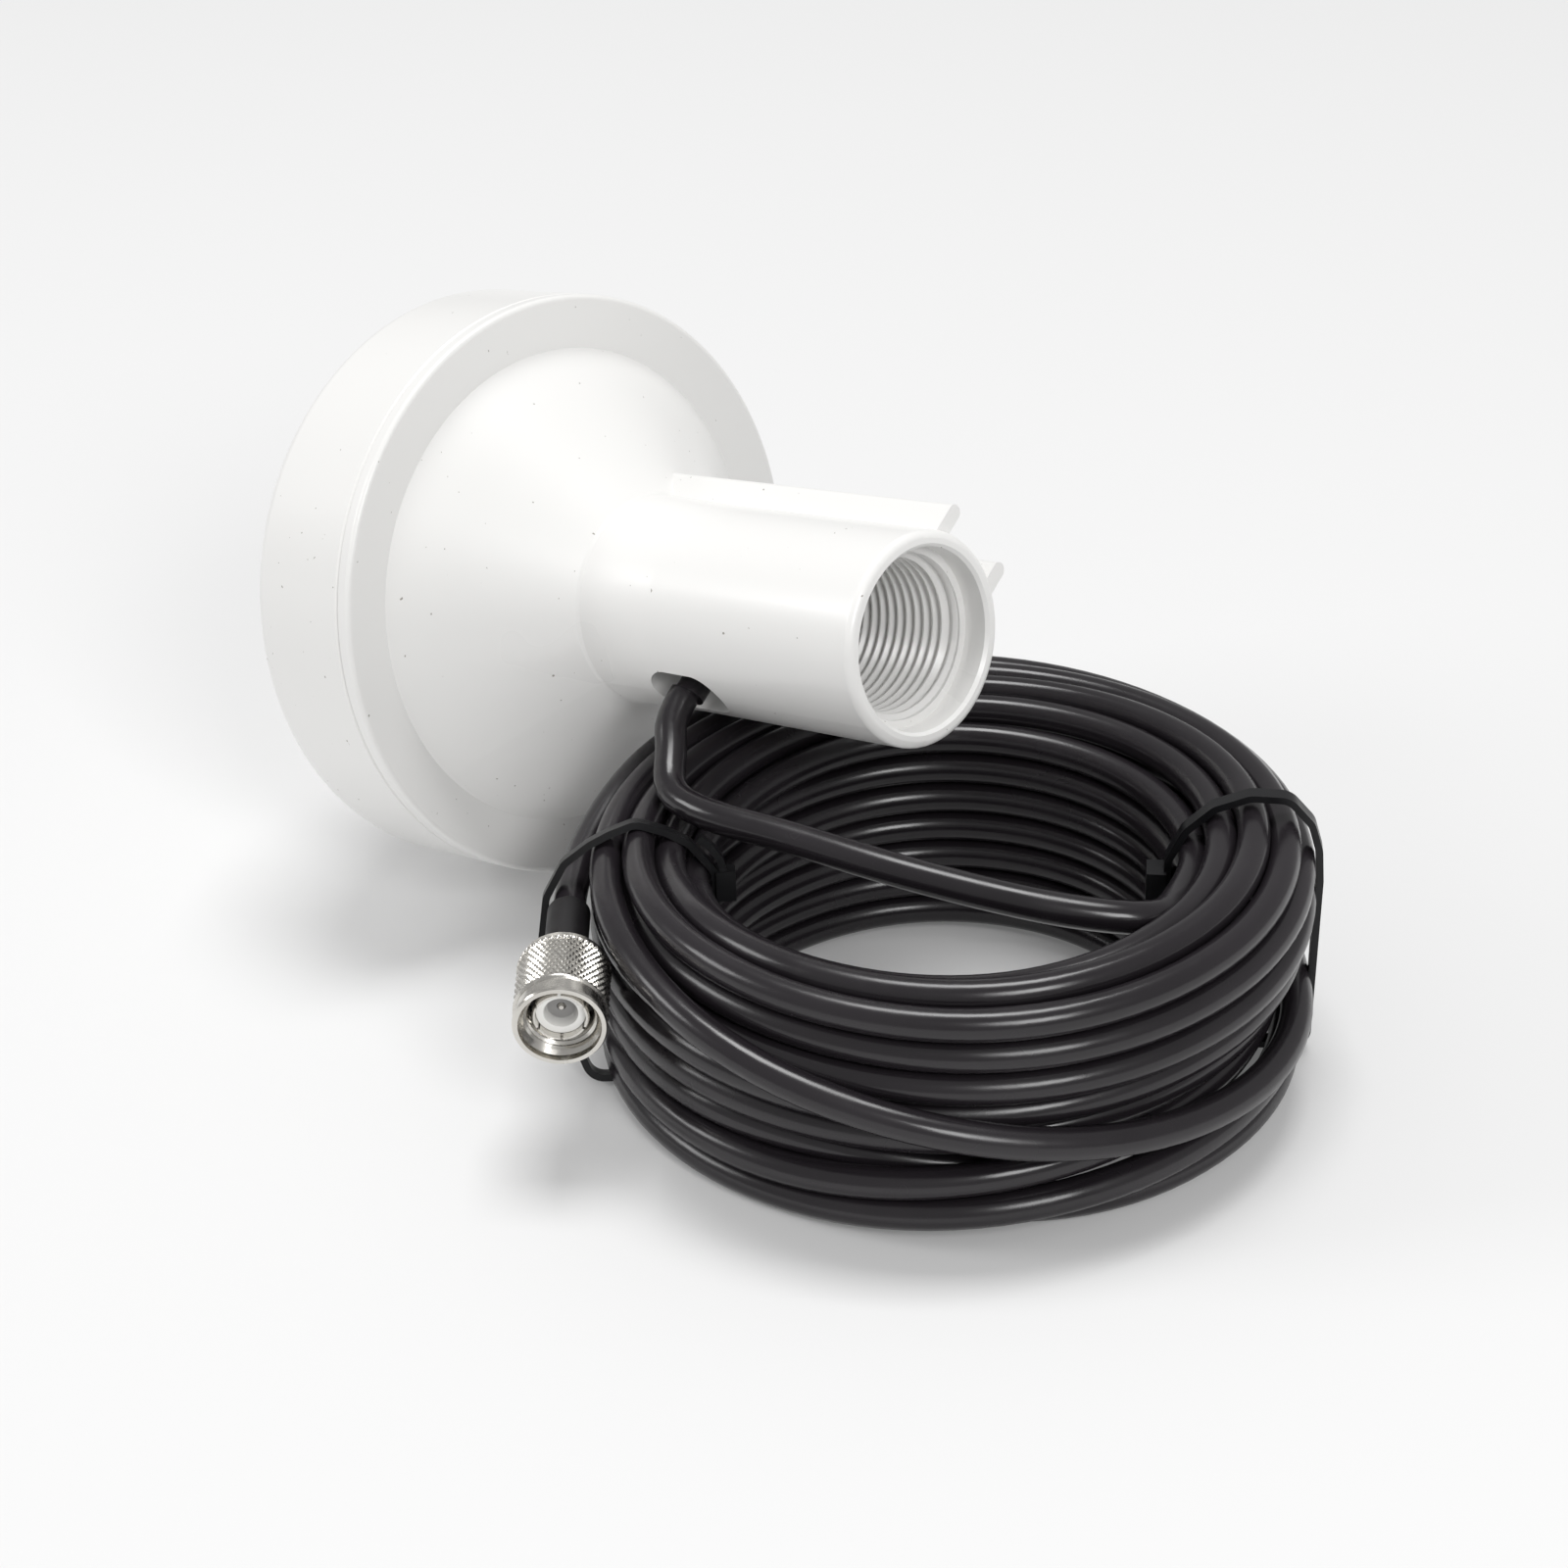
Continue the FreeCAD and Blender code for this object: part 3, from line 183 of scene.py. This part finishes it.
# Cable: one length from the stem's slot, over the coil and the opening, through the turns, and
# out behind the head to the plug. The free points are those of the solid's route.
COIL_CENTRE = Vector((63.0, 0.0, 0.0))
CABLE_DIAMETER = 5.0
SLOT_MOUTH = Vector((20.32, -13.80, 50.89))
SLOT_WAY = Vector((0.1143, -0.8387, -0.5325))
LEAD = [
    (24.2, -20.8, 45.2), (28.6, -26.4, 41.6), (38.6, -27.4, 41.9), (50.9, -23.8, 41.9),
    (67.0, -20.2, 41.5), (81.0, -14.2, 40.0), (93.0, -8.0, 38.8), (102.3, 0.8, 37.2),
]
TAIL = [(16.5, -32.6, 31.0)]
PLUG_FRONT = Vector((46.1, -66.3, 26.6))
PLUG_AXIS = Vector((0.6911, -0.7203, -0.0599)).normalized()

# Where the turns lie at places round the coil, as (distance from the middle, height), turn by
# turn from the lead: four over the top from the inside out, one that hangs loose across the
# front, the inner wall going up, then the outer wall going up to the tail.
SECTIONS = {
    38.0: [(37.3, 35.4), (41.5, 39.9), (46.2, 41.9), (50.6, 39.9), (53.2, 13.6), (36.3, 4.0),
           (36.3, 9.4), (36.3, 14.8), (36.3, 20.1), (36.3, 25.3), (36.5, 30.4), (53.2, 3.9),
           (53.2, 8.8), (48.6, 15.6), (50.2, 20.2), (52.4, 24.8), (53.2, 29.6), (53.0, 34.8)],
    118.0: [(29.2, 36.6), (33.7, 39.3), (38.9, 40.0), (44.3, 39.9), (51.5, 12.8), (28.8, 4.5),
            (28.8, 9.8), (28.8, 15.2), (28.8, 20.5), (28.8, 25.9), (28.9, 31.2), (51.5, 2.6),
            (51.5, 7.7), (51.5, 17.9), (51.5, 23.0), (51.5, 28.1), (51.5, 33.2), (50.6, 38.3)],
    175.0: [(31.2, 36.0), (35.6, 38.5), (40.8, 39.0), (46.2, 38.8), (51.5, 12.8), (30.6, 3.6),
            (30.6, 8.8), (30.6, 14.2), (30.6, 19.6), (30.6, 25.0), (30.8, 30.5), (51.5, 2.6),
            (51.5, 7.7), (51.5, 17.9), (51.5, 22.8), (51.5, 27.6), (51.3, 32.5), (51.7, 37.5)],
    226.7: [(39.1, 31.2), (42.4, 34.9), (47.4, 36.9), (52.4, 34.9), (52.8, 14.1), (39.6, 3.9),
            (41.4, 8.6), (39.4, 13.2), (41.4, 17.6), (39.4, 22.0), (41.4, 26.6), (52.0, 3.9),
            (52.6, 9.0), (53.2, 19.2), (53.2, 24.4), (52.6, 29.6), (47.2, 31.6)],
    255.0: [(41.0, 33.4), (44.4, 37.2), (49.0, 36.6), (54.6, 34.0), (52.5, 12.5), (41.8, 3.4),
            (41.8, 8.6), (41.8, 13.8), (41.8, 19.0), (41.8, 24.2), (46.6, 19.0), (52.2, 2.6),
            (52.4, 7.5), (52.9, 17.5), (52.8, 22.5), (53.4, 27.5), (49.8, 31.6)],
    285.0: [(42.4, 36.2), (46.9, 38.4), (51.2, 36.6), (57.3, 28.3), (51.4, 12.5), (42.4, 5.0),
            (42.2, 10.2), (42.2, 15.4), (42.2, 20.6), (42.2, 26.0), (46.4, 4.0), (50.9, 2.6),
            (51.1, 7.5), (51.7, 17.5), (52.5, 22.4), (52.9, 26.8), (51.7, 31.6)],
    320.0: [(43.6, 35.8), (48.1, 37.6), (52.4, 35.4), (57.4, 19.1), (46.6, 8.6), (42.0, 6.2),
            (42.0, 11.4), (42.0, 16.6), (42.0, 21.8), (42.0, 27.0), (51.4, 2.6), (54.2, 6.7),
            (54.2, 11.7), (50.2, 16.4), (51.8, 21.0), (52.6, 25.8), (52.5, 30.6)],
    350.0: [(43.2, 37.4), (47.8, 39.0), (52.0, 37.0), (56.3, 12.9), (41.0, 3.8), (40.6, 8.6),
            (40.6, 13.8), (40.6, 19.0), (40.6, 24.0), (40.6, 29.2), (51.8, 2.6), (52.3, 7.5),
            (48.8, 13.0), (50.0, 18.0), (52.0, 22.7), (54.0, 27.3), (53.3, 32.1)],
}
BESIDES = {
    (3, 268.0): (55.8, 31.2), (3, 300.0): (58.0, 24.6), (3, 310.0): (58.0, 21.9),
    (3, 331.0): (57.0, 16.6), (3, 343.0): (56.6, 14.4), (4, 10.0): (56.0, 11.6),
    (4, 25.5): (55.8, 12.6), (10, 270.0): (46.8, 11.0), (10, 300.0): (49.6, 2.6),
    (17, 192.0): (52.8, 36.0), (17, 204.0): (54.6, 33.8), (17, 214.0): (56.6, 31.2),
}
AZIMUTHS = [0, 13, 25.5, 38, 53, 68, 83, 98, 113, 128, 143, 158, 173, 188, 201, 214, 226.7,
            241, 256, 271, 286, 301, 315.5, 330, 345]
TIE_LEFT_AZIMUTH = 226.7
TIE_RIGHT_AZIMUTH = 38.0
TIE_LEFT = [(39.2, 2.8), (39.0, 31.0), (41.8, 34.4), (44.5, 35.9), (47.8, 37.0), (50.6, 36.0),
            (53.0, 34.3), (54.0, 31.0), (54.0, 2.8)]
TIE_RIGHT = [(36.3, 3.9), (36.3, 33.0), (38.2, 37.2), (41.4, 40.4), (45.6, 42.1), (49.4, 42.0),
             (51.7, 39.4), (52.8, 35.8), (53.2, 31.0), (53.2, 3.9)]

# The turns settle step by step: each is smoothed along its length, drawn to its place, pushed
# off its neighbours and kept above the surface and inside the ties.
TURN_COUNT = 18
FIRST_ANGLE, LAST_ANGLE = 13.0, 17 * 360.0 + 201.0
SETTLE_STEPS, PUSH_ROUNDS = 260, 3
SMOOTHING, DRAW, PUSH = 0.30, 0.06, 0.8
TURN_SPACING = 5.04
LOWEST_MIDDLE = 2.55
PLUG_BACKS = (34.0, 27.0, 16.0)


def inside(point, corners):
    """The point, or the nearest one on the corners' convex outline if it lies outside."""
    middle = np.mean(corners, axis=0)
    best = np.array(point)
    for first, last in zip(corners, corners[1:] + corners[:1]):
        first, last = np.array(first), np.array(last)
        along = (last - first) / np.linalg.norm(last - first)
        out = np.array((along[1], -along[0]))
        if np.dot(out, middle - first) > 0:
            out = -out
        best = best - out * max(0.0, np.dot(out, best - first))
    return best


marks, wanted = [], []
for azimuth, row in SECTIONS.items():
    for turn, place in enumerate(row):
        marks.append(turn * 360.0 + azimuth)
        wanted.append(place)
for (turn, azimuth), place in BESIDES.items():
    marks.append(turn * 360.0 + azimuth)
    wanted.append(place)
order = np.argsort(marks)
marks, wanted = np.array(marks)[order], np.array(wanted)[order]
angles = np.array([turn * 360.0 + azimuth for turn in range(TURN_COUNT)
                   for azimuth in AZIMUTHS])
angles = angles[(angles >= FIRST_ANGLE) & (angles <= LAST_ANGLE)]
aim = np.stack([np.interp(angles, marks, wanted[:, column]) for column in (0, 1)], 1)
turns = aim.copy()
per_turn = len(AZIMUTHS)
for step in range(SETTLE_STEPS):
    middle = (turns[:-2] + turns[2:]) / 2
    turns[1:-1] += SMOOTHING * (middle - turns[1:-1])
    turns += DRAW * (aim - turns)
    for phase in range(per_turn):
        group = np.arange(phase, len(turns), per_turn)
        for again in range(PUSH_ROUNDS):
            gap = turns[group][:, None] - turns[group][None, :]
            size = np.linalg.norm(gap, axis=2) + np.eye(len(group)) * 99.0
            short = np.clip(TURN_SPACING - size, 0.0, None) / size / 2
            turns[group] += PUSH * np.sum(gap * short[:, :, None], axis=1)
    turns[:, 1] = np.maximum(turns[:, 1], LOWEST_MIDDLE)
    for index, angle in enumerate(angles):
        if abs(angle % 360 - TIE_RIGHT_AZIMUTH) < 0.1:
            turns[index] = inside(turns[index], TIE_RIGHT)
        elif abs(angle % 360 - TIE_LEFT_AZIMUTH) < 0.1:
            turns[index] = inside(turns[index], TIE_LEFT)

# A spline of order 3 runs a little inside its points, so the turns' points stand out by that
spread = 1.0 / (0.75 + 0.25 * math.cos(math.radians(15.0)))
route = [SLOT_MOUTH, SLOT_MOUTH + SLOT_WAY * 5.0] + [Vector(p) for p in LEAD]
for angle, (radius, height) in zip(np.radians(angles), turns * [spread, 1.0]):
    out = Vector((math.cos(angle), math.sin(angle), 0.0))
    route.append(COIL_CENTRE + out * radius + Vector((0.0, 0.0, height)))
route += [Vector(p) for p in TAIL]
route += [PLUG_FRONT - PLUG_AXIS * back for back in PLUG_BACKS]

cable_data = bpy.data.curves.new("coax_cable", "CURVE")
cable_data.dimensions = "3D"
cable_data.bevel_depth = CABLE_DIAMETER / 2 * MM
cable_data.bevel_resolution = 5
cable_data.resolution_u = 4
cable_data.use_fill_caps = True
line = cable_data.splines.new("NURBS")
line.points.add(len(route) - 1)
for point, place in zip(line.points, route):
    point.co = (*(place * MM), 1.0)
line.order_u = 3
line.use_endpoint_u = True
cable = bpy.data.objects.new("coax_cable", cable_data)
bpy.context.scene.collection.objects.link(cable)
cable_data.materials.append(cable_black)
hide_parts("cable_lead", "cable_coil", "cable_tail")
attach(cable, "antenna")


# Stem thread: a helical ridge in the pole bore, one inch across at its roots with fourteen
# turns to the inch, which starts and ends by fading into the wall.
RIM_CENTRE = Vector((-18.0434, 0.0, 51.6283))
TILT = math.radians(12.12)
ANTENNA_AXIS = Vector((math.cos(TILT), 0.0, math.sin(TILT)))
ANTENNA_UP = Vector((-math.sin(TILT), 0.0, math.cos(TILT)))
ANTENNA_SIDE = ANTENNA_AXIS.cross(ANTENNA_UP)
THREAD_ROOT = 12.7
THREAD_CREST = 11.75
THREAD_PITCH = 25.4 / 14
THREAD_START, THREAD_STOP = 50.6, 72.4


def antenna_point(along, radius, angle):
    out = ANTENNA_UP * math.cos(angle) + ANTENNA_SIDE * math.sin(angle)
    return (RIM_CENTRE + ANTENNA_AXIS * along + out * radius) * MM


def helix_mesh(name, start, stop, root, crest, pitch, steps, point):
    """A thread ridge on the inside of a bore, as a closed strip of trapezium sections."""
    built = bmesh.new()
    count = int((stop - start) / pitch * steps)
    rings = []
    for i in range(count + 1):
        angle = 2 * math.pi * i / steps
        along = start + pitch * i / steps
        fade = min(1.0, i / steps * 1.5, (count - i) / steps * 1.5)
        top = root + (crest - root) * max(fade, 0.04)
        ring = [point(along + shift * pitch, radius, angle) for shift, radius in (
            (-0.48, root + 0.05), (-0.08, top), (0.08, top), (0.48, root + 0.05))]
        rings.append([built.verts.new(p) for p in ring])
    for first, last in zip(rings, rings[1:]):
        for a in range(4):
            b = (a + 1) % 4
            built.faces.new((first[a], first[b], last[b], last[a]))
    built.faces.new(rings[0])
    built.faces.new(list(reversed(rings[-1])))
    bmesh.ops.recalc_face_normals(built, faces=built.faces)
    mesh = bpy.data.meshes.new(name)
    built.to_mesh(mesh)
    built.free()
    made = bpy.data.objects.new(name, mesh)
    bpy.context.scene.collection.objects.link(made)
    for face in mesh.polygons:
        face.use_smooth = True
    mesh.set_sharp_from_angle(angle=math.radians(35))
    return made


thread = helix_mesh("stem_thread", THREAD_START, THREAD_STOP, THREAD_ROOT, THREAD_CREST,
                    THREAD_PITCH, 64, antenna_point)
thread.data.materials.append(housing_white)
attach(thread, "antenna")


# Coupling nut: knurled between a plain band with a lip at the front and a plain edge at the
# back. The knurl is two crossing sets of cuts, so that it stands up as small diamonds.
NUT_KNURL_COUNT = 48
NUT_RADIUS = 7.05
KNURL_START, KNURL_STOP = -12.9, -3.4
KNURL_DEPTH = 0.34
KNURL_SLANT = 0.62
KNURL_FADE = 0.25
KNURL_ROWS = 66
PLUG_UP = (Vector((0.0, 0.0, 1.0)) - PLUG_AXIS * PLUG_AXIS.z).normalized()
PLUG_SIDE = PLUG_AXIS.cross(PLUG_UP)


# Insulator: painted shade, dark grey inside its cup and bright white at its rim, by the distance
# from the plug's axis
CUP_PAINTED_SHADE_RADIUS, CUP_PAINTED_SHADE_END = 0.0020, 0.0026
tree = insulator_white_painted_shade.node_tree
place = tree.nodes.new("ShaderNodeTexCoord")
offset = tree.nodes.new("ShaderNodeVectorMath")
offset.operation = "SUBTRACT"
offset.inputs[1].default_value = PLUG_FRONT * MM
across = tree.nodes.new("ShaderNodeVectorMath")
across.operation = "CROSS_PRODUCT"
across.inputs[1].default_value = PLUG_AXIS
span = tree.nodes.new("ShaderNodeVectorMath")
span.operation = "LENGTH"
tree.links.new(place.outputs["Object"], offset.inputs[0])
tree.links.new(offset.outputs["Vector"], across.inputs[0])
tree.links.new(across.outputs["Vector"], span.inputs[0])
# Base colour: painted shade in the cup, fading to the insulator's own white at the rim
feed(insulator_white_painted_shade, ramp(insulator_white_painted_shade, span.outputs["Value"], CUP_PAINTED_SHADE_RADIUS, CUP_PAINTED_SHADE_END,
                           (0.26, 0.255, 0.25), (0.95, 0.945, 0.92)), "Base Color")


def plug_point(along, radius, angle):
    out = PLUG_UP * math.cos(angle) + PLUG_SIDE * math.sin(angle)
    return (PLUG_FRONT + PLUG_AXIS * along + out * radius) * MM


def knurl(along, angle):
    """Depth of the cut at this place: two V-shaped sets that cross, fading at both ends."""
    rise = (along - KNURL_START) / (NUT_RADIUS * math.pi * 2 / NUT_KNURL_COUNT)
    turn = angle / (2 * math.pi) * NUT_KNURL_COUNT
    first = abs(((turn + rise * KNURL_SLANT) % 1.0) - 0.5) * 2
    second = abs(((turn - rise * KNURL_SLANT) % 1.0) - 0.5) * 2
    edge = min(1.0, (along - KNURL_START) / KNURL_FADE, (KNURL_STOP - along) / KNURL_FADE)
    return KNURL_DEPTH * max(first, second) ** 1.3 * max(edge, 0.0)


front_profile = [(-2.0, 5.4), (-1.2, 6.1), (0.0, 6.1), (0.0, 6.75), (-0.3, 6.95), (-0.7, 6.95),
                 (-0.95, 6.72), (-2.9, 6.72), (-3.2, 7.0), (-3.35, 7.03)]
back_profile = [(-12.95, 7.0), (-13.1, 6.72), (-14.1, 6.70), (-14.5, 6.3), (-14.5, 4.3),
                (-12.4, 4.3), (-12.4, 5.7), (-8.0, 5.7), (-7.6, 5.4)]
built = bmesh.new()
segments = NUT_KNURL_COUNT * 8
profile = [(a, r, False) for a, r in front_profile]
for i in range(KNURL_ROWS + 1):
    profile.append((KNURL_STOP + (KNURL_START - KNURL_STOP) * i / KNURL_ROWS, NUT_RADIUS, True))
profile += [(a, r, False) for a, r in back_profile]
rows = []
for along, radius, cut in profile:
    ring = []
    for i in range(segments):
        angle = 2 * math.pi * i / segments
        depth = knurl(along, angle) if cut else 0.0
        ring.append(built.verts.new(plug_point(along, radius - depth, angle)))
    rows.append(ring)
for first, last in zip(rows, rows[1:] + rows[:1]):
    for i in range(segments):
        j = (i + 1) % segments
        built.faces.new((first[i], first[j], last[j], last[i]))
bmesh.ops.recalc_face_normals(built, faces=built.faces)
nut_mesh = bpy.data.meshes.new("knurled_nut")
built.to_mesh(nut_mesh)
built.free()
knurled_nut = bpy.data.objects.new("knurled_nut", nut_mesh)
bpy.context.scene.collection.objects.link(knurled_nut)
for face in nut_mesh.polygons:
    face.use_smooth = True
nut_mesh.set_sharp_from_angle(angle=math.radians(30))
nut_mesh.materials.append(nickel)
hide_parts("coupling_nut")
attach(knurled_nut, "nut")

# Nut thread: the fine ridge inside the nut, between the lip and the contact's seat
nut_thread = helix_mesh("nut_thread", -7.2, -1.9, 5.4, 4.95, 0.907, 48, plug_point)
nut_thread.data.materials.append(nickel)
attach(nut_thread, "nut")


# Studio: a pale floor that meets the white background, a soft light overhead, a weaker one at
# the left and one beside the camera
bpy.ops.mesh.primitive_plane_add(size=40.0, location=(0.0, 0.0, 0.0))
floor = bpy.context.active_object
floor.name = "floor"
paper = grained("paper", (0.66, 0.66, 0.66), 0.9, 6.0, 0.85, 0.95, specular=0.1)
paper_shader = paper.node_tree.nodes["Principled BSDF"]
paper_shader.inputs["Emission Color"].default_value = (1.0, 1.0, 1.0, 1.0)
paper_shader.inputs["Emission Strength"].default_value = 0.12
floor.data.materials.append(paper)


def area_light(name, place, aim, size, power):
    data = bpy.data.lights.new(name, "AREA")
    data.shape = "RECTANGLE"
    data.size, data.size_y = size
    data.energy = power
    made = bpy.data.objects.new(name, data)
    bpy.context.scene.collection.objects.link(made)
    made.location = place
    way = Vector(aim) - Vector(place)
    made.rotation_euler = way.to_track_quat("-Z", "Y").to_euler()


area_light("overhead", (-0.2, 0.3, 2.2), (0.03, 0.0, 0.0), (1.1, 0.8), 30.0)
area_light("left_fill", (-0.9, -0.9, 0.7), (0.0, 0.0, 0.05), (0.5, 0.4), 4.2)
area_light("front_fill", (0.95, -0.40, 0.75), (0.0, 0.0, 0.05), (0.4, 0.4), 5.4)

world = bpy.data.worlds.new("studio")
bpy.context.scene.world = world
world.use_nodes = True
tree = world.node_tree
tree.nodes.clear()
seen = tree.nodes.new("ShaderNodeBackground")
seen.inputs["Color"].default_value = (1.0, 1.0, 1.0, 1.0)
seen.inputs["Strength"].default_value = 1.0
lit = tree.nodes.new("ShaderNodeBackground")
lit.inputs["Color"].default_value = (1.0, 1.0, 1.0, 1.0)
lit.inputs["Strength"].default_value = 0.40
ray = tree.nodes.new("ShaderNodeLightPath")
mix = tree.nodes.new("ShaderNodeMixShader")
out = tree.nodes.new("ShaderNodeOutputWorld")
tree.links.new(ray.outputs["Is Camera Ray"], mix.inputs["Fac"])
tree.links.new(lit.outputs["Background"], mix.inputs[1])
tree.links.new(seen.outputs["Background"], mix.inputs[2])
tree.links.new(mix.outputs["Shader"], out.inputs["Surface"])
bpy.context.scene.view_settings.view_transform = "Standard"
